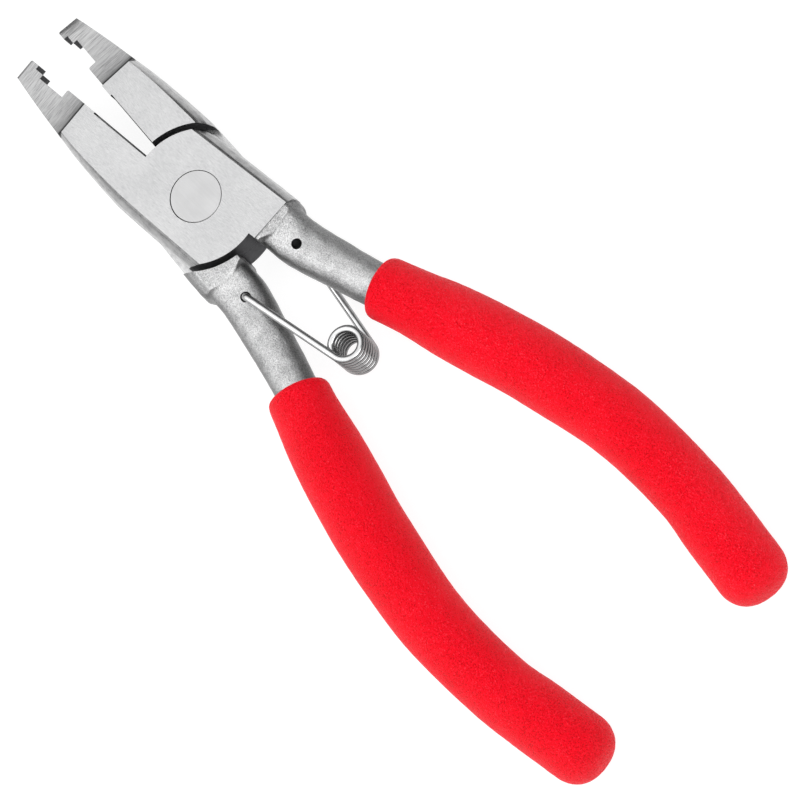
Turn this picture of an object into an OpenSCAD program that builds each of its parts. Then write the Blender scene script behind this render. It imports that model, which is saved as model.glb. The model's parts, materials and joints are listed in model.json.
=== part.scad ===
// Lap-joint crimping pliers: one forging used twice, the second turned over on the first,
// held by a flush rivet, opened by a torsion spring and covered with dipped grips.
// Millimetres. The origin is on the rivet's axis, in the joint's back face. +X runs to the
// jaw tips and +Z to the front face. The modules draw each piece around the middle of the
// joint, and a lever in its closed place; the place_ modules then put it where it rests.

/* [Pose] */
// Angle between the jaws when the spring is relaxed
rest_opening = 8.8; // [6:0.2:12]

/* [Joint] */
// Thickness over both lap plates
joint_t = 8.6; // [8.2:0.2:9.4]
// Radius of the round ends of a lap plate
lap_r = 11; // [10.6:0.1:11.1]
// Gap between a round lap end and the shoulder around it
shoulder_gap = 1; // [0.4:0.1:1.1]
// Width over the sides of a lap plate
joint_w = 18.6; // [18:0.2:19.2]
// Distance from the rivet to the step where the handle starts
handle_step = 12.3; // [12:0.1:13]

/* [Rivet] */
// Diameter of the flush heads
rivet_head_d = 8.5; // [7.6:0.1:9.4]
// Diameter of the shank
rivet_shank_d = 6.4; // [5:0.1:7]
// Depth of a head
rivet_head_t = 1.6; // [1:0.1:2.4]
// Radial and axial running clearance in the lever that turns
rivet_clearance = 0.03; // [0.02:0.01:0.08]

/* [Jaws] */
// Distance from the rivet to the jaw tips
jaw_reach = 39; // [37:0.5:42]
// Width of one jaw at its tip
tip_w = 3.7; // [3.2:0.1:4.4]
// Thickness of a jaw's blade at its tip
tip_t = 3; // [2.6:0.1:4]
// Length of the thin blade behind the tip
blade_len = 13.8; // [12.6:0.1:15]
// How much thicker the blade is at its root
blade_taper = 0.4; // [0:0.1:0.8]
// Length of the land at the very tip
tip_land = 1.6; // [1:0.1:2]
// Length of the small crimping step
small_step = 1.7; // [1.2:0.1:2]
// Depth of each of the two crimping steps
step_depth = 0.76; // [0.5:0.02:0.9]
// Length of the large crimping pocket
pocket_len = 5.2; // [4.6:0.1:5.6]

/* [Handles] */
// Thickness of the bare handle at the spring hole
handle_t = 6.4; // [5.8:0.1:6.5]
// Distance from the rivet to the end of the grips
handle_reach = 111; // [109:0.1:114]
// Full thickness of a grip where it is fattest
grip_t = 12; // [10.5:0.1:13]

/* [Spring] */
// Wire diameter
wire_d = 1.2; // [1.1:0.05:1.3]
// Mean radius of the coil
coil_r = 2.5; // [2.2:0.05:2.6]
// Whole turns of the coil, not counting the part turn between the legs
coil_turns = 6; // [5:1:6]
// Distance from the rivet to the coil's axis
coil_x = 35; // [34.6:0.1:35.4]
// Free space between two turns
turn_gap = 0.03; // [0.03:0.01:0.08]

/* [Hidden] */
half_open = rest_opening / 2;
half_t = joint_t / 2;
half_w = joint_w / 2;
shoulder_r = lap_r + shoulder_gap;
// Half of the play between the two lap plates, and between the closed jaws.
lap_play = 0.025;
mate_play = 0.02;
over = 1;
facets = 24;

// The handle's inner edge stays this far from the tool's middle line when it is closed.
crotch = 0.8;
// Bevel along the sides of the joint and the jaws: its width and its depth.
bevel_w = 1.6;
bevel_t = 2.4;

// Outer side of a jaw, from the tip back to the full width of the joint.
jaw_side = [
  [jaw_reach, tip_w],
  [jaw_reach * 0.79, tip_w + 1.8],
  [jaw_reach * 0.6, tip_w + 3.5],
  [jaw_reach * 0.38, tip_w + 4.8],
  [jaw_reach * 0.2, half_w]
];

// Spring hole in the handle, in the closed lever.
hole_x = -17.8;
hole_y = -4.3;
hole_r = wire_d / 2 + 0.07;

// Handle and grip: [x, y, half width, half thickness] along the middle of the lever's leg.
ht = handle_t / 2;
handle_line = [
  [-9.5, -5.2, 3.6, ht + 0.2],
  [-13, -5, 4.1, ht + 0.4],
  [-17.5, -4.9, 3.95, ht],
  [-23, -5.8, 3.7, ht - 0.1],
  [-31, -7.2, 3.5, ht - 0.1],
  [-45, -10.2, 3.2, ht - 0.3],
  [-60, -13, 3, ht - 0.5],
  [-76, -14.4, 2.8, ht - 0.7],
  [-90, -13.3, 2.6, ht - 0.9],
  [-102, -10.6, 2.2, ht - 1.2]
];
gt = grip_t / 2;
grip_line = [
  [-33.4, -7.8, 4.5, 4.6],
  [-34.2, -7.95, 4.8, 5],
  [-38, -8.9, 5.35, gt - 0.5],
  [-46, -10.6, 5.9, gt],
  [-60, -13.1, 5.95, gt],
  [-76, -14.5, 5.6, gt - 0.2],
  [-90, -13.4, 5.45, gt - 0.3],
  [-99, -11.3, 5.6, gt - 0.1],
  [-106, -10, 5.45, gt - 0.1]
];
// The closed end of a grip is rounded over this length.
grip_end = handle_reach + grip_line[len(grip_line) - 1][0];
end_rings = 5;

// Spring sizes that follow from the rest pose.
pitch = wire_d + turn_gap;
pin_r = norm([hole_x, hole_y]);
pin_angle = 180 - atan(hole_y / hole_x) - half_open;
pin_x = pin_r * cos(pin_angle);
pin_y = pin_r * sin(pin_angle);
leg_reach = norm([coil_x + pin_x, pin_y]);
leg_angle = atan(pin_y / (coil_x + pin_x)) + acos(coil_r / leg_reach);
coil_wrap = 360 * (coil_turns + 1) - 2 * leg_angle;
coil_top = pitch * coil_wrap / 360 / 2;
// Share of the coil that belongs to each leg, and the arc left free beside it.
leg_wrap = 270;
arc_gap = 6;
wire_sides = 8;
arc_step = 15;
pin_depth = 4.2;

// ---- curves ----

function cubic(a, b, c, d, t) =
  0.5 * (2 * b + (c - a) * t + (2 * a - 5 * b + 4 * c - d) * t * t
         + (3 * b - a - 3 * c + d) * t * t * t);

function at(line, i) = line[max(0, min(len(line) - 1, i))];

function smooth(line, steps) = concat(
  [for (i = [0 : len(line) - 2], s = [0 : steps - 1])
    cubic(at(line, i - 1), at(line, i), at(line, i + 1), at(line, i + 2), s / steps)],
  [at(line, len(line) - 1)]);

function heading(path, i) =
  let (a = at(path, i - 1), b = at(path, i + 1), v = [b[0] - a[0], b[1] - a[1]]) v / norm(v);

// One oval ring of the leg, square-ish or round: power 2 is an ellipse.
function ring(p, way, power) =
  [for (k = [0 : facets - 1])
    let (a = 360 * k / facets,
         side = sign(cos(a)) * pow(abs(cos(a)), 2 / power) * p[2],
         up = sign(sin(a)) * pow(abs(sin(a)), 2 / power) * p[3])
    [p[0] - way[1] * side, p[1] + way[0] * side, up]];

module loft(rings) {
  n = len(rings[0]);
  last = len(rings) - 1;
  sides = [for (i = [0 : last - 1], k = [0 : n - 1], half = [0, 1])
    let (a = i * n + k, b = i * n + (k + 1) % n)
    half == 0 ? [a, b + n, b] : [a, a + n, b + n]];
  polyhedron(
    points = [for (r = rings) each r],
    faces = concat([[for (k = [0 : n - 1]) k]], sides,
                   [[for (k = [n - 1 : -1 : 0]) last * n + k]]));
}

// ---- lever, closed, with its jaw on +Y and its lap plate on +Z ----

module jaw_outline() {
  pocket_tip = jaw_reach - tip_land - small_step;
  pocket_heel = pocket_tip - pocket_len;
  polygon([
    [0, mate_play],
    [pocket_heel, mate_play],
    [pocket_heel, 2 * step_depth],
    [pocket_tip, 2 * step_depth],
    [pocket_tip, step_depth],
    [jaw_reach - tip_land, step_depth],
    [jaw_reach - tip_land, mate_play],
    [jaw_reach, mate_play],
    each jaw_side,
    [0, half_w]
  ]);
}

// What the grinding wheel takes off one face of a jaw: a round root, then a slow taper.
module blade_cut() {
  root_x = jaw_reach - blade_len;
  root_z = tip_t / 2 + blade_taper / 2;
  wheel_r = half_t - root_z;
  intersection() {
    translate([root_x + wheel_r, half_t]) circle(r = wheel_r, $fn = 64);
    translate([root_x, 0]) square([wheel_r, joint_t]);
  }
  polygon([
    [root_x + wheel_r, root_z],
    [jaw_reach + over, tip_t / 2],
    [jaw_reach + over, joint_t],
    [root_x + wheel_r, joint_t]
  ]);
}

module jaw_side_view() {
  difference() {
    translate([-over, -half_t]) square([jaw_reach + 2 * over, joint_t]);
    blade_cut();
    mirror([0, 1]) blade_cut();
  }
}

module jaw() {
  intersection() {
    translate([0, 0, -half_t]) linear_extrude(joint_t) jaw_outline();
    translate([0, joint_w, 0]) rotate([90, 0, 0]) linear_extrude(2 * joint_w) jaw_side_view();
  }
}

module lap_plate() {
  translate([0, 0, lap_play]) intersection() {
    cylinder(r = lap_r, h = half_t - lap_play, $fn = 96);
    translate([-lap_r, -half_w, 0]) cube([2 * lap_r, joint_w, half_t]);
  }
}

module handle_root() {
  translate([-handle_step, -half_w, -half_t]) cube([handle_step, half_w - crotch, joint_t]);
}

module handle_core() {
  path = smooth(handle_line, 3);
  loft([for (i = [0 : len(path) - 1]) ring(path[i], heading(path, i), 2.6)]);
}

// A long wedge that bevels an edge which runs from one point to the next.
module edge_wedge(from, to) {
  run = to - from;
  translate([from[0], from[1], half_t])
    rotate([0, 0, atan2(run[1], run[0])])
      translate([-over, 0, 0]) rotate([90, 0, 90]) linear_extrude(norm(run) + 2 * over)
        polygon([[over, over], [over, -bevel_t], [0, -bevel_t], [-bevel_w, 0], [-bevel_w, over]]);
}

module side_bevels() {
  heel = [-handle_step, half_w];
  shoulder = jaw_side[len(jaw_side) - 1];
  for (face = [0, 1]) mirror([0, 0, face]) {
    edge_wedge(heel, shoulder);
    for (i = [1 : len(jaw_side) - 2]) edge_wedge(jaw_side[i + 1], jaw_side[i]);
    mirror([0, 1, 0]) edge_wedge(heel, shoulder);
  }
}

module lever() {
  color("silver") difference() {
    union() {
      difference() {
        union() {
          jaw();
          lap_plate();
          handle_root();
        }
        side_bevels();
      }
      handle_core();
    }
    translate([0, 0, lap_play - half_t - over])
      cylinder(r = shoulder_r, h = half_t + over, $fn = 96);
    translate([hole_x, hole_y, -joint_t]) cylinder(r = hole_r, h = 2 * joint_t, $fn = 32);
  }
}

// Rivet hole with the seat for a flush head. spare is the clearance all round.
module rivet_seat(spare) {
  translate([0, 0, -over]) cylinder(d = rivet_shank_d + 2 * spare, h = joint_t, $fn = 64);
  translate([0, 0, half_t - rivet_head_t - spare])
    cylinder(d = rivet_head_d + 2 * spare, h = joint_t, $fn = 64);
}

module place() { translate([0, 0, half_t]) children(); }
module place_front() { place() rotate([0, 0, half_open]) children(); }
module place_rear() { place() rotate([180, 0, -half_open]) children(); }

module front_lever() {
  place_front() difference() {
    lever();
    rivet_seat(0);
  }
}

module rear_lever() {
  place_rear() difference() {
    lever();
    rivet_seat(rivet_clearance);
  }
}

module pivot_rivet() {
  color("gainsboro") place() {
    cylinder(d = rivet_shank_d, h = joint_t, center = true, $fn = 64);
    for (face = [0, 1]) mirror([0, 0, face])
      translate([0, 0, half_t - rivet_head_t]) cylinder(d = rivet_head_d, h = rivet_head_t, $fn = 64);
  }
}

// ---- grips ----

module grip() {
  path = smooth(grip_line, 3);
  body = [for (i = [0 : len(path) - 1]) ring(path[i], heading(path, i), 2.2)];
  tail = path[len(path) - 1];
  way = heading(path, len(path) - 1);
  dome = [for (k = [1 : end_rings])
    let (a = 85 * k / end_rings, s = grip_end * sin(a), w = pow(cos(a), 0.8))
    ring([tail[0] + way[0] * s, tail[1] + way[1] * s, tail[2] * w, tail[3] * w], way, 2.2)];
  color("crimson") difference() {
    loft(concat(body, dome));
    handle_core();
  }
}

module front_lever_grip() { place_front() grip(); }
module rear_lever_grip() { place_rear() grip(); }

// ---- spring ----

function coil_point(wrap) =
  [coil_r * cos(leg_angle + wrap) - coil_x, coil_r * sin(leg_angle + wrap),
   coil_top - pitch * wrap / 360];

function wire_ring(wrap) =
  let (c = coil_point(wrap), a = leg_angle + wrap)
  [for (k = [0 : wire_sides - 1])
    let (b = 360 * k / wire_sides, out = wire_d / 2 * cos(b))
    [c[0] + out * cos(a), c[1] + out * sin(a), c[2] - wire_d / 2 * sin(b)]];

module coil_wire(from, to) {
  count = ceil((to - from) / arc_step);
  loft([for (i = [0 : count]) wire_ring(from + (to - from) * i / count)]);
}

// The leg on +Y and +Z, from the pin in the handle's hole to the end of its turn.
module spring_leg() {
  start = coil_point(0);
  run = [pin_x - start[0], pin_y - start[1], 0];
  elbow = run * (1 + wire_d / 2 / norm(run));
  count = ceil(leg_wrap / arc_step);
  color("gainsboro") {
    loft(concat([[for (p = wire_ring(0)) p + elbow]],
                [for (i = [0 : count]) wire_ring(leg_wrap * i / count)]));
    translate([pin_x, pin_y, coil_top - pin_depth])
      cylinder(d = wire_d - 0.02, h = pin_depth - 0.1, $fn = 24);
  }
}

module spring_front_leg() { place() spring_leg(); }
module spring_rear_leg() { place() rotate([180, 0, 0]) spring_leg(); }

module spring_coil() {
  color("gainsboro") place() coil_wire(leg_wrap + arc_gap, coil_wrap - leg_wrap - arc_gap);
}

front_lever();
rear_lever();
pivot_rivet();
front_lever_grip();
rear_lever_grip();
spring_front_leg();
spring_coil();
spring_rear_leg();
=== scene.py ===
# Looks of the crimping pliers, laid over their CAD model.
# Every piece is drawn in millimetres around the middle of the joint, as one closed lever lies
# (jaw on +Y, lap plate on +Z, handle on -Y), and is then put where the frame says it rests.
import json
import math

import bmesh
import bpy
from mathutils import Matrix, Vector, noise


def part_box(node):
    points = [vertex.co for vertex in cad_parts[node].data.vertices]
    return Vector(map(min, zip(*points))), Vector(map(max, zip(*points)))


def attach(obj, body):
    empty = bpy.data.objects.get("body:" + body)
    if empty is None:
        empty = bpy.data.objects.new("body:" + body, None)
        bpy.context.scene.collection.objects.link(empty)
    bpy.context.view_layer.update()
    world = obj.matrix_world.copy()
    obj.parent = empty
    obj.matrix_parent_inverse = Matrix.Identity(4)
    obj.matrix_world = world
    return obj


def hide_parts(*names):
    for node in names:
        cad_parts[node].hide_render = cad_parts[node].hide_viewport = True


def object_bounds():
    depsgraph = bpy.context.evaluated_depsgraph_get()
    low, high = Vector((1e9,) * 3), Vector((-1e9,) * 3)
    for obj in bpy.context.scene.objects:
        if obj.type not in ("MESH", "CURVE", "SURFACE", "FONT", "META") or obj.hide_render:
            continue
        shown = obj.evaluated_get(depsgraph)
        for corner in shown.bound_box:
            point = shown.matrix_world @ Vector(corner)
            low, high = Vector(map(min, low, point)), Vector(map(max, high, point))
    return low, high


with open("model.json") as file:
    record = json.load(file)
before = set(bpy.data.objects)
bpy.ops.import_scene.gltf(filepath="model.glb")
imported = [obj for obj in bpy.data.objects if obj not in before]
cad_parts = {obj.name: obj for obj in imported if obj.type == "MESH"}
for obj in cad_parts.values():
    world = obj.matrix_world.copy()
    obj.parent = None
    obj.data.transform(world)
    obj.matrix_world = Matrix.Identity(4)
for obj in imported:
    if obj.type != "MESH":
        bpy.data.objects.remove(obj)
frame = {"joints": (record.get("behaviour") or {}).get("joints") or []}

cad_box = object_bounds()


# ---- sizes, in millimetres, from the frame ----

MM = 0.001


def box_mm(node):
    """Lowest and highest corner of a CAD node, in millimetres."""
    low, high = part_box(node)
    return Vector(low) / MM, Vector(high) / MM


def joint_range(name):
    """Lowest and highest value of a joint, in degrees."""
    return next(j["range_deg"] for j in frame["joints"] if j["name"] == name)


rivet_low, rivet_high = box_mm("pivot_rivet")
front_high = box_mm("front_lever")[1]
front_grip_low = box_mm("front_lever_grip")[0]
coil_low, coil_high = box_mm("spring_coil")

half_open = math.radians(joint_range("pivot")[1] / 2)
half_t = (rivet_high.z - rivet_low.z) / 2
middle_z = (rivet_high.z + rivet_low.z) / 2
head_r = rivet_high.x
jaw_reach = front_high.x / math.cos(half_open)
floor_z = cad_box[0].z

# Lap joint
lap_r = 11
shoulder_r = 12
lap_play = 0.025
mate_play = 0.02
step_x = -12.4
crotch = 0.86
side_y = 9.3
boss_y = 9.6
# Rounding of the sides of the ground head: how far in it starts on the flat, and how deep.
band_tip = 0.95
band_joint = 1.65
band_run = 15
band_ledge = 0.24
edge_break = 0.12
ledge_depth = 0.62
band_depth = 1.9
# How far a cutter runs past the steel that it cuts.
overrun = 1

# Rivet: its seat is a little wider than the head, and drilled slightly off the middle.
shank_r = 3.2
head_depth = 1.6
head_play = 0.04
head_sink = 0.005
head_edge = 0.09
seat_gap = 0.06
seat_shift = 0.03

# Jaw
blade_root = jaw_reach - 13.8
blade_t = 3.0
blade_taper = 0.4
wheel_r = 1.6
tip_land = 1.6
small_step = 1.7
step_depth = 0.76
pocket_len = 5.2
relief_x = 22.9
relief_w = 0.3
relief_depth = 2.2
corner_r = 0.3
# The cut over the jaw's end: how high it climbs and how far back it runs, at either edge.
chamfer_inner = (0.1, 0.4)
chamfer_outer = (0.75, 1.9)
jaw_side = [(jaw_reach, 3.68), (35.7, 4.5), (30.8, 5.6), (26.8, 6.4), (22.7, 7.25), (19.3, 7.85),
            (15, 8.45), (10.5, 9.0), (5, side_y - 0.15), (0, side_y - 0.1)]

# Handle: x, y, half width, half thickness and squareness of the section.
handle_line = [
    (-10.5, -5.1, 4.0, 4.05, 3.6),
    (-13, -4.85, 4.0, 4.0, 3.2),
    (-17, -4.85, 3.95, 3.22, 2.7),
    (-23, -5.8, 3.72, 3.2, 2.4),
    (-31, -7.2, 3.5, 3.2, 2.2),
    (-45, -10.2, 3.2, 3.1, 2.2),
    (-60, -13, 3, 3, 2.2),
    (-76, -14.4, 2.8, 2.8, 2.2),
    (-90, -13.3, 2.6, 2.6, 2.2),
    (-102, -10.6, 2.2, 2.3, 2.2),
]
hole_x = -17.8
hole_y = -4.3
hole_r = 0.86
boss_drop = 0.25
# Unevenness of the forged skin: waves per millimetre and their height.
forging_waves = [(0.55, 0.05), (1.9, 0.022)]

# Grip: x, y and radius of the section, from the lip to where the closed end starts to round.
grip_line = [
    (-38, -8.95, 5.28),
    (-46, -10.6, 5.88),
    (-60, -13.1, 5.93),
    (-76, -14.5, 5.62),
    (-90, -13.35, 5.45),
    (-97.5, -11.75, 5.62),
    (-105.5, -9.9, 5.6),
]
lip_r = 5.05
lip_round = 0.85
lip_slope = 0.24
mouth_r = 2.8
dome_power = 0.72
grip_tall = 1.015
front_lip_x = -31.6
rear_lip_x = -33.9
# Where across the closed end it reaches furthest back, and how far it stops short of the CAD grip.
end_y = -6.9
end_short = 0.6
grip_end_x = (front_grip_low.x + end_y * math.sin(half_open)) / math.cos(half_open) + end_short

# Spring
wire_r = 0.6
coil_x = (coil_low.x + coil_high.x) / 2
coil_r = (coil_high.x - coil_low.x) / 2 - wire_r
coil_turns = 6
pitch = 2 * wire_r + 0.03
leg_wrap = 270
seam_overlap = 8
seam_play = 0.01
elbow_r = 0.9
pin_depth = 4.2


# ---- node graphs as Python expressions ----

class Signal:
    """A node's output that takes part in Python expressions."""

    def __init__(self, graph, socket):
        self.graph = graph
        self.socket = socket

    def __add__(self, other):
        return self.graph.maths("ADD", self, other)

    def __sub__(self, other):
        return self.graph.maths("SUBTRACT", self, other)

    def __rsub__(self, other):
        return self.graph.maths("SUBTRACT", other, self)

    def __mul__(self, other):
        return self.graph.maths("MULTIPLY", self, other)

    def __truediv__(self, other):
        return self.graph.maths("DIVIDE", self, other)

    __radd__ = __add__
    __rmul__ = __mul__


def find_socket(sockets, key):
    """A node's socket by its number, or the one in use that has that name."""
    if isinstance(key, int):
        return sockets[key]
    return next(s for s in sockets if s.enabled and key in (s.name, s.identifier))


def set_stops(ramp, stops):
    """Puts a colour ramp's stops where a list of (place, grey or colour) says."""
    while len(ramp.elements) < len(stops):
        ramp.elements.new(1)
    for element, (place, shade) in zip(ramp.elements, stops):
        element.position = place
        element.color = (*shade, 1) if isinstance(shade, tuple) else (shade, shade, shade, 1)


class Graph:
    """A node tree under construction, either a shader's or a geometry's."""

    def __init__(self, tree, family="ShaderNode"):
        self.tree = tree
        self.family = family

    def add(self, kind, settings=None, inputs=None, out=0):
        """Adds a node, sets it, feeds its sockets and returns one of its outputs."""
        prefix = "" if kind.startswith(("ShaderNode", "NodeGroup")) else self.family
        node = self.tree.nodes.new(prefix + kind)
        for key, value in (settings or {}).items():
            if key == "stops":
                set_stops(node.color_ramp, value)
            else:
                setattr(node, key, value)
        for key, value in (inputs or {}).items():
            self.feed(find_socket(node.inputs, key), value)
        return Signal(self, find_socket(node.outputs, out)) if node.outputs else node

    def feed(self, socket, value):
        if isinstance(value, Signal):
            self.tree.links.new(value.socket, socket)
        elif socket.type == "RGBA" and len(value) == 3:
            socket.default_value = (*value, 1)
        else:
            socket.default_value = value

    def maths(self, operation, a, b=0.0):
        """A Math node, or a Vector Math node if either value is a vector."""
        vector = any(isinstance(v, Signal) and v.socket.type == "VECTOR" or isinstance(v, tuple)
                     for v in (a, b))
        a, b = [(v, v, v) if vector and isinstance(v, (int, float)) else v for v in (a, b)]
        kind = "ShaderNodeVectorMath" if vector else "ShaderNodeMath"
        return self.add(kind, {"operation": operation}, {0: a, 1: b})

    def ramp(self, value, *stops):
        return self.add("ShaderNodeValToRGB", {"stops": stops}, {"Fac": value})

    def shaded(self, colour, *shades):
        """A colour darkened by one or more grey values."""
        for grey in shades:
            colour = self.add("ShaderNodeMix", {"data_type": "RGBA", "blend_type": "MULTIPLY"},
                              {"Factor": 1.0, "A": colour, "B": grey}, "Result")
        return colour

    def noise(self, place, scale, detail=2.0, roughness=0.5):
        inputs = {"Vector": place, "Scale": scale, "Detail": detail, "Roughness": roughness}
        return self.add("ShaderNodeTexNoise", None, inputs)


# ---- finishes ----

def finish(name, paint):
    """A new material whose surface is what paint(graph, place) returns, place being in mm."""
    material = bpy.data.materials.new(name)
    material.use_nodes = True
    tree = material.node_tree
    tree.nodes.clear()
    graph = Graph(tree)
    place = graph.add("Attribute", {"attribute_name": "own_mm"}, out="Vector")
    surface = paint(graph, place)
    graph.add("OutputMaterial", None, {"Surface": surface})
    return material


def shader(graph, values):
    return graph.add("BsdfPrincipled", None, values)


def bump(graph, height, depth_mm):
    """Relief of a height between 0 and 1, that deep."""
    return graph.add("Bump", None, {"Height": height, "Distance": depth_mm * MM})


def painted_slope_shade(graph, *stops):
    """Painted shade: a grey value by how far a surface faces up or down, 0 for a wall and 1 for a flat, that
    darkens a surface by how the light would fall on its slope.
    """
    normal = graph.add("NewGeometry", out="Normal")
    z = graph.add("SeparateXYZ", None, {0: normal}, "Z")
    return graph.ramp(graph.maths("ABSOLUTE", z), *stops)


def satin_steel(graph, place):
    """Surface-ground flats: hair-fine marks along the tool on pale satin steel."""
    hair = graph.noise(place * (0.8, 13.0, 13.0), 1.0, 3.0, 0.6)
    fine = graph.noise(place * (4.0, 28.0, 28.0), 1.0, 2.0)
    cloud = graph.noise(place, 0.16, 2.0)
    tone = graph.ramp(hair * 0.45 + fine * 0.4 + cloud * 0.15,
                      (0.40, (0.39, 0.392, 0.397)), (0.60, (0.575, 0.575, 0.577)))
    relief = bump(graph, hair * 0.4 + fine * 0.6, 0.006)
    return shader(graph, {
        "Base Color": tone,
        "Metallic": 1.0,
        "Roughness": 0.3 + fine * 0.12 + cloud * 0.06,
        "Normal": relief,
    })


def cross_ground_steel(graph, place):
    """The thin blades: coarse wheel marks across the jaw, painted shade as a dark line at the root's crease,
    and a darker band at the jaw's end.
    """
    marks = graph.noise(place * (9.0, 0.3, 0.3), 1.0, 4.0, 0.65)
    scratches = graph.noise(place * (22.0, 0.5, 0.5), 1.0, 2.0, 0.6)
    along = graph.add("SeparateXYZ", None, {0: place}, "X")
    # Painted shade: a thin dark line just past the blade's root, then lighter towards the tip, where the
    # step's wall would shade the blade.
    painted_root_shade = graph.ramp((along - blade_root) / 10, (0.11, 0.45), (0.14, 0.10), (0.155, 0.10),
                           (0.18, 0.45), (0.25, 0.70), (0.5, 0.9), (0.9, 1.0))
    # Painted shade: the last third of a millimetre at the jaw's end is darkened, as the end faces away from
    # the light.
    painted_tip_shade = graph.ramp(jaw_reach - along, (0.22, 0.45), (0.34, 1.0))
    tone = graph.ramp(marks * 0.55 + scratches * 0.45, (0.40, (0.24, 0.24, 0.243)),
                      (0.48, (0.41, 0.41, 0.413)), (0.6, (0.52, 0.52, 0.52)))
    return shader(graph, {
        "Base Color": graph.shaded(tone, painted_root_shade, painted_tip_shade),
        "Metallic": 1.0,
        "Roughness": 0.34 + scratches * 0.14,
        "Normal": bump(graph, marks * 0.5 + scratches * 0.5, 0.02),
    })


def dressed_steel(graph, place):
    """Sides that were dressed by hand: mid grey, softly mottled, with marks along the edge, and painted
    shade by how steeply they slope.
    """
    marks = graph.noise(place * (0.6, 3.5, 6.0), 1.0, 3.0, 0.6)
    mottle = graph.noise(place, 0.9, 3.0)
    tone = graph.ramp(marks * 0.5 + mottle * 0.5, (0.38, (0.38, 0.38, 0.385)), (0.62, (0.58, 0.58, 0.58)))
    # Painted shade: faces tilted roughly 35 to 65 degrees from flat are darkened, most near 45, upright
    # walls slightly.
    wall = painted_slope_shade(graph, (0.1, 0.9), (0.4, 1.0), (0.6, 0.7), (0.72, 0.62), (0.85, 1.0))
    return shader(graph, {
        "Base Color": graph.shaded(tone, wall),
        "Metallic": 1.0,
        "Roughness": 0.22 + mottle * 0.12,
        "Normal": bump(graph, marks, 0.012),
    })


def painted_gap_shade_steel(graph, place):
    """Walls in the narrow gaps between the levers and inside holes: near-black painted shade, mottled, with
    a trace of bare metal.
    """
    scale = graph.noise(place, 1.6, 4.0, 0.6)
    # Painted shade: near black, for walls that would lie in shadow.
    tone = graph.ramp(scale, (0.3, (0.018, 0.018, 0.02)), (0.75, (0.075, 0.075, 0.08)))
    return shader(graph, {
        "Base Color": tone,
        "Metallic": 0.7,
        "Roughness": 0.42 + scale * 0.2,
        "Normal": bump(graph, scale, 0.03),
    })


def blasted_steel(graph, place):
    """The forging's skin: shot-blasted, with a fine even grain, and painted shade that darkens its sides."""
    grain = graph.noise(place, 7.0, 3.0, 0.6)
    pits = graph.noise(place, 3.2, 2.0, 0.5)
    cloud = graph.noise(place, 0.4, 2.0)
    tone = graph.ramp(grain * 0.6 + pits * 0.22 + cloud * 0.18,
                      (0.40, (0.28, 0.28, 0.283)), (0.5, (0.50, 0.50, 0.503)), (0.6, (0.68, 0.68, 0.68)))
    # Painted shade: the handle's sides are darkened to about a third, its top kept bright, as the light
    # falls.
    wall = painted_slope_shade(graph, (0.1, 0.32), (0.55, 0.46), (0.8, 0.80), (0.97, 1.0))
    return shader(graph, {
        "Base Color": graph.shaded(tone, wall),
        "Metallic": 1.0,
        "Roughness": 0.24 + grain * 0.14,
        "Normal": bump(graph, grain * 0.75 + pits * 0.25, 0.13),
    })


def rivet_steel(graph, place):
    """A rivet head that was ground flush with the plate."""
    hair = graph.noise(place * (0.3, 8.0, 8.0), 1.0, 3.0, 0.6)
    cloud = graph.noise(place, 0.3, 2.0)
    tone = graph.ramp(hair * 0.5 + cloud * 0.5, (0.38, (0.45, 0.45, 0.453)), (0.62, (0.505, 0.505, 0.507)))
    return shader(graph, {
        "Base Color": tone,
        "Metallic": 1.0,
        "Roughness": 0.31 + hair * 0.12,
        "Normal": bump(graph, hair, 0.004),
    })


def bright_wire(graph, place):
    """Drawn spring wire: bright, with faint die lines along it, and painted shade that darkens its sides."""
    stain = graph.noise(place, 0.8, 2.0)
    lines = graph.noise(place * (2.0, 2.0, 7.0), 1.0, 2.0)
    tone = graph.ramp(stain, (0.3, (0.52, 0.52, 0.525)), (0.7, (0.66, 0.66, 0.66)))
    # Painted shade: the wire's sides are darkened, its top kept bright.
    wall = painted_slope_shade(graph, (0.0, 0.3), (0.5, 0.6), (0.88, 1.0))
    return shader(graph, {
        "Base Color": graph.shaded(tone, wall),
        "Metallic": 1.0,
        "Roughness": 0.14 + lines * 0.1,
        "Normal": bump(graph, lines, 0.003),
    })


def dipped_plastic(graph, place):
    """Red dip-moulded vinyl: matt, finely pebbled, with a faint painted red glow that lifts its shaded
    sides.
    """
    pebble = graph.noise(place, 3.6, 3.0, 0.6)
    fine = graph.noise(place, 7.5, 2.0)
    cloud = graph.noise(place, 0.09, 2.0)
    tone = graph.ramp(pebble * 0.45 + fine * 0.45 + cloud * 0.1,
                      (0.42, (0.54, 0.0, 0.004)), (0.5, (0.93, 0.0, 0.010)),
                      (0.57, (1.0, 0.006, 0.028)), (0.63, (1.0, 0.06, 0.08)))
    return shader(graph, {
        "Base Color": tone,
        "Roughness": 0.42 + fine * 0.14,
        "IOR": 1.25,
        # Painted light: a faint red glow, though the vinyl is no lamp.
        "Emission Color": (0.2, 0.0, 0.003),
        "Emission Strength": 1.0,
        "Normal": bump(graph, pebble * 0.6 + fine * 0.4, 0.8),
    })


# The near-black finish is painted shade for walls in gaps and holes.
FINISHES = [satin_steel, cross_ground_steel, dressed_steel, painted_gap_shade_steel, blasted_steel]
SATIN, CROSS_GROUND, DRESSED, PAINTED_GAP_SHADE, BLASTED = range(len(FINISHES))
lever_finishes = [finish(paint.__name__, paint) for paint in FINISHES]


# ---- mesh tools ----

def arc(radius, start, end, count, centre=(0, 0)):
    """Points on an arc, angles in degrees."""
    turns = [math.radians(start + (end - start) * i / count) for i in range(count + 1)]
    return [(centre[0] + radius * math.cos(t), centre[1] + radius * math.sin(t)) for t in turns]


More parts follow.
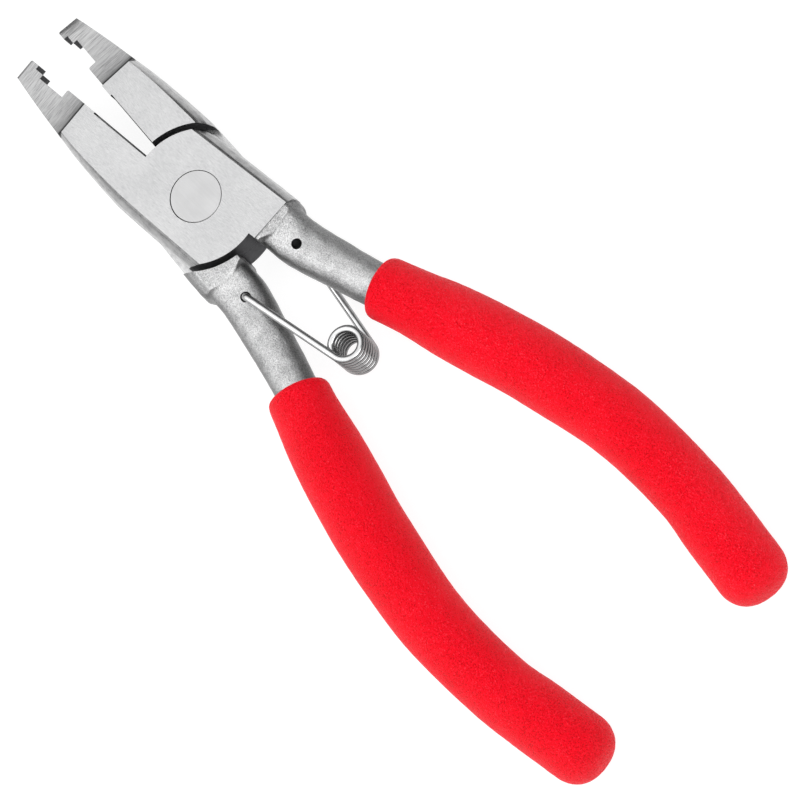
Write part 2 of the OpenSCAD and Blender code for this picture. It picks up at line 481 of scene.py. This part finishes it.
def smooth_line(line, steps):
    """A curve through every row of a list, with that many steps from row to row."""
    rows = [Vector(row) for row in line]
    rows = [2 * rows[0] - rows[1]] + rows + [2 * rows[-1] - rows[-2]]
    path = []
    for a, b, c, d in zip(rows, rows[1:], rows[2:], rows[3:]):
        for i in range(steps):
            t = i / steps
            path.append(0.5 * (2 * b + (c - a) * t + (2 * a - 5 * b + 4 * c - d) * t * t
                               + (3 * b - a - 3 * c + d) * t * t * t))
    return path + [rows[-2]]


def new_object(name, vertices, faces, finish_number=0):
    """A mesh object that carries the lever's finishes."""
    mesh = bpy.data.meshes.new(name)
    mesh.from_pydata(vertices, [], faces)
    for material in lever_finishes:
        mesh.materials.append(material)
    mesh.polygons.foreach_set("material_index", [finish_number] * len(mesh.polygons))
    fix = bmesh.new()
    fix.from_mesh(mesh)
    bmesh.ops.recalc_face_normals(fix, faces=fix.faces)
    fix.to_mesh(mesh)
    fix.free()
    thing = bpy.data.objects.new(name, mesh)
    bpy.context.scene.collection.objects.link(thing)
    return thing


def skin(name, rings, finish_number=0):
    """A closed solid through rings that all have the same number of points."""
    count = len(rings[0])
    vertices = [tuple(p) for ring in rings for p in ring]
    faces = [tuple(range(count)), tuple(range(len(vertices) - count, len(vertices)))]
    for i in range(len(rings) - 1):
        for k in range(count):
            a = i * count + k
            b = i * count + (k + 1) % count
            faces.append((a, b, b + count, a + count))
    return new_object(name, vertices, faces, finish_number)


def prism(name, outline, low, high, finish_number=0):
    """An outline in the plane of the joint, between two heights."""
    return skin(name, [[(x, y, z) for x, y in outline] for z in (low, high)], finish_number)


def turning(name, profile, sides, finish_number=0, centre=(0, 0)):
    """A solid of revolution about a line along Z, from (radius, height) pairs."""
    rings = [[(x, y, z) for x, y in arc(r, 0, 360, sides, centre)[:-1]] for r, z in profile]
    return skin(name, rings, finish_number)


def apply_modifiers(thing):
    """Puts what a thing's modifiers make of it into its mesh."""
    evaluated = thing.evaluated_get(bpy.context.evaluated_depsgraph_get())
    mesh = bpy.data.meshes.new_from_object(evaluated)
    thing.modifiers.clear()
    thing.data = mesh


def combine(thing, tool, operation):
    """Joins a tool solid to a thing or cuts it off, and removes the tool."""
    boolean = thing.modifiers.new("combine", "BOOLEAN")
    boolean.operation = operation
    boolean.solver = "MANIFOLD"
    boolean.object = tool
    apply_modifiers(thing)
    bpy.data.objects.remove(tool)


def shade(thing, angle):
    """Smooth shading, except over edges sharper than an angle in degrees."""
    thing.data.shade_smooth()
    thing.data.set_sharp_from_angle(angle=math.radians(angle))


def remember_place(thing):
    """Keeps every point's place in the closed lever, for the finishes to read."""
    places = thing.data.attributes.new("own_mm", "FLOAT_VECTOR", "POINT")
    for value, vertex in zip(places.data, thing.data.vertices):
        value.vector = vertex.co


TO_METRES = Matrix.Translation((0, 0, middle_z * MM)) @ Matrix.Scale(MM, 4)
FRONT = TO_METRES @ Matrix.Rotation(half_open, 4, "Z")
REAR = TO_METRES @ Matrix.Rotation(-half_open, 4, "Z") @ Matrix.Rotation(math.pi, 4, "X")


def put(thing, where, body, slot, *nodes):
    """Puts a finished piece where it rests and hands it to its body."""
    remember_place(thing)
    thing.data.transform(where)
    thing.data.update()
    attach(thing, body)
    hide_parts(*nodes)


# ---- levers ----

def band(x):
    """Width of the rounded band along the side of the head."""
    return band_tip + (band_joint - band_tip) * min(1, max(0, (blade_root - x) / band_run))


def head_outline(share):
    """Outline of jaw and lap plate. share is 0 at the flat's edge and 1 on the side itself."""
    inset = 1 - share
    near = side_y - band_joint * inset
    far_joint = side_y - 0.05 - band_joint * inset
    far_boss = boss_y - (band_joint - 0.2) * inset
    pocket_tip = jaw_reach - tip_land - small_step
    pocket_heel = pocket_tip - pocket_len
    first_step = jaw_reach - tip_land
    far_end = -math.degrees(math.asin(far_joint / lap_r))
    near_end = 180 - math.degrees(math.asin(near / lap_r))
    crotch_angle = 180 + math.degrees(math.asin(crotch / lap_r))
    heel_corner = arc(corner_r, -90, 0, 3, (pocket_heel - corner_r, mate_play + corner_r))
    tip_corner = arc(corner_r, 270, 360, 3, (jaw_reach - corner_r, mate_play + corner_r))
    return (
        arc(lap_r, far_end, 0, 14)[:-1]
        + [(lap_r, mate_play), (relief_x, mate_play)]
        + heel_corner
        + [(pocket_heel, 2 * step_depth), (pocket_tip, 2 * step_depth), (pocket_tip, step_depth),
           (first_step, step_depth), (first_step, mate_play)]
        + tip_corner
        + [(x, y - band(x) * inset) for x, y in jaw_side]
        + arc(lap_r, near_end, crotch_angle, 26)
        + [(step_x + 0.2, -crotch), (step_x - 0.05, -far_boss)]
    )


def ground_head():
    """Jaw and lap plate at full thickness: a broken edge, a small ledge and a round band along the sides."""
    levels = [
        (half_t, 0),
        (half_t - edge_break, edge_break / band_joint),
        (half_t - ledge_depth * 0.45, band_ledge),
        (half_t - ledge_depth, band_ledge + 0.14),
        (half_t - ledge_depth - band_depth * 0.3, 0.74),
        (half_t - ledge_depth - band_depth, 1),
    ]
    rings = [(z, share) for z, share in levels] + [(-z, share) for z, share in reversed(levels)]
    return skin("ground_head", [[(x, y, z) for x, y in head_outline(share)] for z, share in rings],
                DRESSED)


def blade_wheel(side):
    """What the wheel takes off one face of the jaw: a round root, then a slow taper."""
    root_z = blade_t / 2 + blade_taper / 2
    root = arc(wheel_r, 180, 270, 8, (blade_root + wheel_r, root_z + wheel_r))
    end_x = jaw_reach + overrun
    top = half_t + overrun
    profile = root + [(end_x, blade_t / 2), (end_x, top), (blade_root, top)]
    across = (-3, 12)
    return skin("wheel", [[(x, y, z * side) for x, z in profile] for y in across], CROSS_GROUND)


def relief_wedge(side):
    """The slanted wall that frees the mating edge behind the blade."""
    skim = 0.01
    top = half_t + skim
    bottom = half_t - relief_depth
    outside = mate_play - overrun
    profile = [(outside, top + overrun), (mate_play + relief_w, top + overrun),
               (mate_play + relief_w, top), (mate_play, bottom), (outside, bottom)]
    along = (lap_r + skim, relief_x)
    return skin("relief", [[(x, y, z * side) for y, z in profile] for x in along], PAINTED_GAP_SHADE)


def tip_chamfer():
    """The slanted cut over the far face of the jaw's end, wider towards the outer side."""
    low = -blade_t / 2
    skim = 0.1
    waste = 4
    edges = [(-1, chamfer_inner), (5, chamfer_outer)]
    vertices = [(jaw_reach + skim, y, low + climb) for y, (climb, run) in edges]
    vertices += [(jaw_reach - run, y, low - skim) for y, (climb, run) in edges]
    vertices += [(jaw_reach + waste, y, low - waste) for y, cut in edges]
    faces = [(0, 1, 3, 2), (0, 4, 5, 1), (2, 3, 5, 4), (0, 2, 4), (1, 5, 3)]
    return new_object("chamfer", vertices, faces, DRESSED)


def room_for_other():
    """Where the other lever's lap plate turns, with its shoulder all round."""
    return turning("room", [(shoulder_r, -half_t - overrun), (shoulder_r, lap_play)], 144, PAINTED_GAP_SHADE)


def block(name, low_x, high_x, low_z, high_z, finish_number):
    """A block wider than the head, to cut with."""
    reach = 12
    outline = [(low_x, -reach), (high_x, -reach), (high_x, reach), (low_x, reach)]
    return prism(name, outline, low_z, high_z, finish_number)


def oval_ring(row, way):
    """One section of the handle."""
    x, y, half_width, half_height, power = row
    ring = []
    for k in range(40):
        a = math.tau * k / 40
        side = math.copysign(abs(math.cos(a)) ** (2 / power), math.cos(a)) * half_width
        up = math.copysign(abs(math.sin(a)) ** (2 / power), math.sin(a)) * half_height
        ring.append((x - way[1] * side, y + way[0] * side, up))
    return ring


def heading(path, i):
    """Unit vector along a path in the plane of the joint."""
    a = path[max(0, i - 1)]
    b = path[min(len(path) - 1, i + 1)]
    run = Vector((b[0] - a[0], b[1] - a[1]))
    return run.normalized()


def forged_handle():
    """The handle with the boss at its root, soft as it leaves the die."""
    path = smooth_line(handle_line, 6)
    handle = skin("handle", [oval_ring(row, heading(path, i)) for i, row in enumerate(path)], BLASTED)
    boss_top = half_t - boss_drop
    boss_levels = [(boss_top, 1.8), (boss_top - 0.8, 0.8), (boss_top - 2, 0.1), (0, 0)]
    outline = [(-6.5, -boss_y), (-12.3, -boss_y), (-13.1, -boss_y + 0.4), (-13.4, -boss_y + 1.2),
               (-13.7, -6), (-13.7, -3), (-12.7, -crotch), (-6.5, -crotch)]
    rings = []
    for z, inset in boss_levels + [(-z, inset) for z, inset in reversed(boss_levels[:-1])]:
        rings.append([(x, max(y, -boss_y + inset), z) for x, y in outline])
    boss = skin("boss", rings, BLASTED)
    combine(handle, boss, "UNION")
    remesh = handle.modifiers.new("melt", "REMESH")
    remesh.mode = "VOXEL"
    remesh.voxel_size = 0.25
    soften = handle.modifiers.new("soften", "SMOOTH")
    soften.factor = 0.5
    soften.iterations = 5
    apply_modifiers(handle)
    outward = [vertex.normal.copy() for vertex in handle.data.vertices]
    for vertex, way in zip(handle.data.vertices, outward):
        ripple = sum(noise.noise(vertex.co * waves) * height for waves, height in forging_waves)
        vertex.co += way * ripple
    handle.data.polygons.foreach_set("material_index", [BLASTED] * len(handle.data.polygons))
    return handle


def assign_flats(thing):
    """Gives the ground faces their satin finish, and the walls between the levers, in the pocket and along
    the mating edge their near-black painted shade.
    """
    near = 0.1
    for face in thing.data.polygons:
        x, y, z = face.center
        level = abs(face.normal.z)
        on_lap_end = abs(math.hypot(x, y) - lap_r) < 1.5 * near
        in_pocket = x > blade_root and near < y < 2 * step_depth
        on_mating_edge = x < blade_root and -crotch - near < y < near
        if face.material_index == PAINTED_GAP_SHADE and level > 0.9:
            face.material_index = DRESSED
        elif face.material_index == DRESSED:
            if level > 0.99 and abs(z) > half_t - near / 2:
                face.material_index = SATIN
            elif level < 0.3 and (on_lap_end or in_pocket or on_mating_edge):
                face.material_index = PAINTED_GAP_SHADE


def lever(name):
    """One lever, closed and facing up: the ground head with its forged handle."""
    head = ground_head()
    # Cutters with the near-black finish give the walls they open in gaps and holes painted shade.
    for side in (1, -1):
        combine(head, blade_wheel(side), "DIFFERENCE")
        combine(head, relief_wedge(side), "DIFFERENCE")
    combine(head, tip_chamfer(), "DIFFERENCE")
    combine(head, room_for_other(), "DIFFERENCE")
    behind = block("behind", -20, 0, -half_t - overrun, lap_play, PAINTED_GAP_SHADE)
    combine(head, behind, "DIFFERENCE")
    assign_flats(head)
    handle = forged_handle()
    combine(handle, room_for_other(), "DIFFERENCE")
    above = block("above", step_x + 0.15, 0, lap_play - 0.3, half_t + overrun, BLASTED)
    combine(handle, above, "DIFFERENCE")
    combine(head, handle, "UNION")
    bit = [(hole_r, -half_t - overrun), (hole_r, half_t + overrun)]
    combine(head, turning("hole", bit, 32, PAINTED_GAP_SHADE, (hole_x, hole_y)), "DIFFERENCE")
    combine(head, rivet_solid(seat_gap, PAINTED_GAP_SHADE, (0, seat_shift)), "DIFFERENCE")
    head.name = name
    shade(head, 32)
    return head


# ---- rivet ----

def rivet_solid(spare, finish_number, centre=(0, 0)):
    """The rivet's own shape, or with spare its seat: a shank between two flush heads."""
    rim = head_r - head_play + spare
    under = half_t - (head_depth + spare)
    top = half_t + overrun if spare else half_t - head_sink
    edge = 0 if spare else head_edge
    profile = [(rim - edge, top), (rim, top - edge), (rim, under), (shank_r + spare, under)]
    if spare:
        profile = profile[1:]
    mirrored = [(r, -z) for r, z in reversed(profile)]
    return turning("rivet", profile + mirrored, 96, finish_number, centre)


def rivet():
    """The rivet as a piece of its own, with its own finish."""
    thing = rivet_solid(0, 0)
    thing.name = "rivet"
    thing.data.materials.clear()
    thing.data.materials.append(finish("rivet_steel", rivet_steel))
    shade(thing, 32)
    return thing


# ---- swept pieces, by geometry nodes ----

def geometry_tree(name, sizes):
    """An empty geometry tree with a geometry input and named sizes."""
    tree = bpy.data.node_groups.new(name, "GeometryNodeTree")
    tree.interface.new_socket("Geometry", in_out="INPUT", socket_type="NodeSocketGeometry")
    for label, value in sizes.items():
        kind = "NodeSocketInt" if isinstance(value, int) else "NodeSocketFloat"
        tree.interface.new_socket(label, in_out="INPUT", socket_type=kind).default_value = value
    tree.interface.new_socket("Geometry", in_out="OUTPUT", socket_type="NodeSocketGeometry")
    return tree


def end_tree(graph, geometry, material):
    """Realises what a tree made, gives it its finish and hands it out."""
    real = graph.add("RealizeInstances", None, {0: geometry})
    done = graph.add("SetMaterial", None, {"Geometry": real, "Material": material})
    graph.add("NodeGroupOutput", None, {0: done})


def wire_tree(material):
    """Sweeps a round wire along the path that it is given."""
    tree = geometry_tree("drawn_wire", {"Wire radius": wire_r, "Sides": 20})
    graph = Graph(tree, "GeometryNode")
    given = {label: graph.add("NodeGroupInput", out=label) for label in ("Geometry", "Wire radius", "Sides")}
    profile = graph.add("CurvePrimitiveCircle", None,
                        {"Resolution": given["Sides"], "Radius": given["Wire radius"]})
    tube = graph.add("CurveToMesh", None,
                     {"Curve": given["Geometry"], "Profile Curve": profile, "Fill Caps": True})
    smooth = graph.add("SetShadeSmooth", None, {"Geometry": tube})
    end_tree(graph, smooth, material)
    return tree


def grip_tree(material):
    """Sweeps a grip's oval section along its path and raises a pebbled, slightly uneven skin."""
    tree = geometry_tree("dipped_grip", {"Sides": 120, "Tall": grip_tall,
                                         "Lump height": 0.08, "Pebble height": 0.05})
    graph = Graph(tree, "GeometryNode")
    given = {label: graph.add("NodeGroupInput", out=label)
             for label in ("Geometry", "Sides", "Tall", "Lump height", "Pebble height")}
    profile = graph.add("CurvePrimitiveCircle", None, {"Resolution": given["Sides"], "Radius": 1.0})
    oval = graph.add("ShaderNodeCombineXYZ", None, {"X": 1.0, "Y": given["Tall"], "Z": 1.0})
    profile = graph.add("Transform", None, {"Geometry": profile, "Scale": oval})
    sweep = graph.add("CurveToMesh", None,
                      {"Curve": given["Geometry"], "Profile Curve": profile, "Fill Caps": True,
                       "Scale": graph.add("InputRadius")})
    place = graph.add("InputPosition")
    outward = graph.add("InputNormal")
    lumps = graph.noise(place, 0.13, 1.0) - 0.8
    pebble = graph.noise(place, 1.1, 2.0) - 0.8
    height = lumps * given["Lump height"] * 2 + pebble * given["Pebble height"] * 2
    offset = graph.add("ShaderNodeVectorMath", {"operation": "SCALE"}, {0: outward, "Scale": height})
    skinned = graph.add("SetPosition", None, {"Geometry": sweep, "Offset": offset})
    smooth = graph.add("SetShadeSmooth", None, {"Geometry": skinned})
    end_tree(graph, smooth, material)
    return tree


def sweep_path(name, rows, tree, sizes=None):
    """A piece made by a geometry tree from a path of points, a fourth number being the radius."""
    curve = bpy.data.curves.new(name + "_path", "CURVE")
    curve.dimensions = "3D"
    spline = curve.splines.new("POLY")
    spline.points.add(len(rows) - 1)
    for point, row in zip(spline.points, rows):
        point.co = (row[0], row[1], row[2], 1)
        point.radius = row[3] if len(row) > 3 else 1
    thing = bpy.data.objects.new(name + "_path", curve)
    bpy.context.scene.collection.objects.link(thing)
    nodes = thing.modifiers.new("sweep", "NODES")
    nodes.node_group = tree
    for item in tree.interface.items_tree:
        if item.in_out == "INPUT" and sizes and item.name in sizes:
            nodes[item.identifier] = sizes[item.name]
    evaluated = thing.evaluated_get(bpy.context.evaluated_depsgraph_get())
    mesh = bpy.data.meshes.new_from_object(evaluated)
    bpy.data.objects.remove(thing)
    mesh.name = name
    piece = bpy.data.objects.new(name, mesh)
    bpy.context.scene.collection.objects.link(piece)
    return piece


def grip_path(lip_x):
    """A grip's middle line and radius: the rolled lip, the body and the round closed end."""
    mouth_y = grip_line[0][1] + lip_slope * (lip_x - grip_line[0][0])
    neck = lip_round * 1.3
    shoulder = (lip_x - neck, mouth_y - lip_slope * neck, lip_r + 0.08)
    body = smooth_line([shoulder] + grip_line, 16)
    way = heading(body, 0)
    lip = [(lip_x, mouth_y, 0, mouth_r)]
    for i in range(9):
        a = math.radians(90 * i / 8)
        back = 0.1 + lip_round * (1 - math.cos(a))
        radius = lip_r - lip_round * (1 - math.sin(a))
        lip.append((lip_x + way.x * back, mouth_y + way.y * back, 0, radius))
    tail = body[-1]
    way = heading(body, len(body) - 1)
    length = (grip_end_x - tail.x) / way.x
    dome = []
    for i in range(1, 13):
        a = math.radians(89 * i / 12)
        reach = length * math.sin(a)
        radius = tail.z * math.cos(a) ** dome_power
        dome.append((tail.x + way.x * reach, tail.y + way.y * reach, 0, radius))
    return lip + [(p.x, p.y, 0, p.z) for p in body] + dome


# ---- spring ----

pin_r = math.hypot(hole_x, hole_y)
pin_angle = math.pi - math.atan(hole_y / hole_x) - half_open
pin = Vector((pin_r * math.cos(pin_angle), pin_r * math.sin(pin_angle), 0))
coil_centre = Vector((coil_x, 0, 0))
leg_run = pin - coil_centre
leg_angle = math.degrees(math.atan2(leg_run.y, leg_run.x) + math.acos(coil_r / leg_run.length))
coil_wrap = 360 * (coil_turns + 1) - 2 * leg_angle
coil_top = pitch * coil_wrap / 360 / 2


def coil_point(wrap):
    """A point of the wire's middle, that many degrees round from where the front leg touches."""
    a = math.radians(leg_angle + wrap)
    return Vector((coil_x + coil_r * math.cos(a), coil_r * math.sin(a), coil_top - pitch * wrap / 360))


def coil_points(start, end):
    """The wire's middle from one wrap to another, a point about every 7.5 degrees."""
    count = math.ceil((end - start) / 7.5)
    return [coil_point(start + (end - start) * i / count) for i in range(count + 1)]


def leg_points():
    """The pin in its hole, the elbow, the straight leg and the leg's share of the coil."""
    touch = coil_point(0)
    top = pin + Vector((0, 0, coil_top))
    way = (touch - top).normalized()
    down = Vector((0, 0, -1))
    points = [top + down * pin_depth]
    for i in range(9):
        a = math.radians(90 * i / 8)
        points.append(top + way * elbow_r * (1 - math.cos(a)) + down * elbow_r * (1 - math.sin(a)))
    return points + coil_points(0, leg_wrap + seam_overlap)


# ---- pieces ----

for side, where in (("front", FRONT), ("rear", REAR)):
    put(lever(side + "_lever_steel"), where, side + "_half", "forged_steel", side + "_lever")

put(rivet(), TO_METRES, "front_half", "rivet_steel", "pivot_rivet")

grip_sweep = grip_tree(finish("dipped_plastic", dipped_plastic))
for side, where, lip_x in (("front", FRONT, front_lip_x), ("rear", REAR, rear_lip_x)):
    grip = sweep_path(side + "_grip_dip", grip_path(lip_x), grip_sweep)
    put(grip, where, side + "_half", "grip_plastic", side + "_lever_grip")
    # The wire beside a grip mirrors the room and not the grip.
    grip.visible_glossy = False

wire_sweep = wire_tree(finish("bright_wire", bright_wire))
for side, where in (("front", TO_METRES), ("rear", TO_METRES @ Matrix.Rotation(math.pi, 4, "X"))):
    leg = sweep_path("spring_" + side + "_wire", leg_points(), wire_sweep)
    put(leg, where, f"spring_{side}_leg", "spring_wire", f"spring_{side}_leg")
coil_start = leg_wrap - seam_overlap
coil_end = coil_wrap - leg_wrap + seam_overlap
coil = sweep_path("spring_coil_wire", coil_points(coil_start, coil_end), wire_sweep,
                  {"Wire radius": wire_r - seam_play})
put(coil, TO_METRES, "spring_coil", "spring_wire", "spring_coil")


# ---- stage ----

def studio_floor():
    """A wide pale floor that the pliers lie on, glowing softly so that it stays white."""
    half = 3.0
    corners = [(-half, -half), (half, -half), (half, half), (-half, half)]
    mesh = bpy.data.meshes.new("floor")
    mesh.from_pydata([(x, y, floor_z) for x, y in corners], [], [(0, 1, 2, 3)])
    material = bpy.data.materials.new("paper")
    material.use_nodes = True
    tree = material.node_tree
    tree.nodes.clear()
    graph = Graph(tree)
    place = graph.add("TexCoord", out="Object")
    cloud = graph.noise(place, 6.0)
    tone = graph.ramp(cloud, (0.3, (0.19, 0.19, 0.19)), (0.7, (0.21, 0.21, 0.21)))
    paper = shader(graph, {"Base Color": tone, "Roughness": 0.8, "Emission Color": (1.0, 1.0, 1.0),
                           "Emission Strength": 0.86})
    graph.add("OutputMaterial", None, {"Surface": paper})
    mesh.materials.append(material)
    floor = bpy.data.objects.new("floor", mesh)
    bpy.context.scene.collection.objects.link(floor)


def studio_sky():
    """An even dome: bright overhead and dimmer towards the horizon."""
    world = bpy.data.worlds.new("studio")
    world.use_nodes = True
    tree = world.node_tree
    tree.nodes.clear()
    graph = Graph(tree)
    way = graph.add("TexCoord", out="Generated")
    key = Vector((0.06, 0.42, 0.905)).normalized()
    towards = graph.add("VectorMath", {"operation": "DOT_PRODUCT"}, {0: way, 1: tuple(key)}, "Value")
    glow = graph.ramp(towards, (0.0, 0.05), (0.42, 0.17), (0.68, 0.78), (0.85, 1.0))
    sky = graph.add("Background", None, {"Color": glow, "Strength": 1.57})
    graph.add("OutputWorld", None, {"Surface": sky})
    bpy.context.scene.world = world


def soft_light(name, place, target, size, watts):
    """A round area light, in metres and watts, that faces a target."""
    light = bpy.data.lights.new(name, "AREA")
    light.shape = "DISK"
    light.size = size
    light.energy = watts
    lamp = bpy.data.objects.new(name, light)
    lamp.location = place
    lamp.rotation_euler = (Vector(target) - Vector(place)).to_track_quat("-Z", "Y").to_euler()
    bpy.context.scene.collection.objects.link(lamp)


def camera():
    """Looks down at the pliers from behind the handles, turned so that they lie aslant."""
    azimuth = math.radians(180 + 5.3)
    tilt = math.radians(22)
    roll = math.radians(39)
    distance = 0.6
    along = Vector((math.cos(azimuth), math.sin(azimuth), 0))
    across = Vector((math.sin(azimuth), -math.cos(azimuth), 0))
    up = Vector((0, 0, 1))
    slope = along * math.cos(tilt) - up * math.sin(tilt)
    back = along * math.sin(tilt) + up * math.cos(tilt)
    right = slope * math.cos(roll) - across * math.sin(roll)
    top = -(slope * math.sin(roll) + across * math.cos(roll))
    target = Vector((-46.34, 0.33, middle_z)) * MM
    lens = bpy.data.cameras.new("camera")
    lens.lens = 178.5
    lens.sensor_width = 36
    lens.clip_start = 0.01
    view = bpy.data.objects.new("camera", lens)
    turn = Matrix((right, top, back)).transposed().to_4x4()
    view.matrix_world = Matrix.Translation(target + back * distance) @ turn
    bpy.context.scene.collection.objects.link(view)
    bpy.context.scene.camera = view


studio_floor()
studio_sky()
soft_light("key", (0.15, 0.45, 0.75), (-0.03, 0, 0), 0.6, 1.2)
soft_light("fill", (-0.6, -0.2, 0.6), (-0.05, 0, 0), 0.6, 2.2)
camera()
bpy.context.scene.view_settings.view_transform = "Standard"
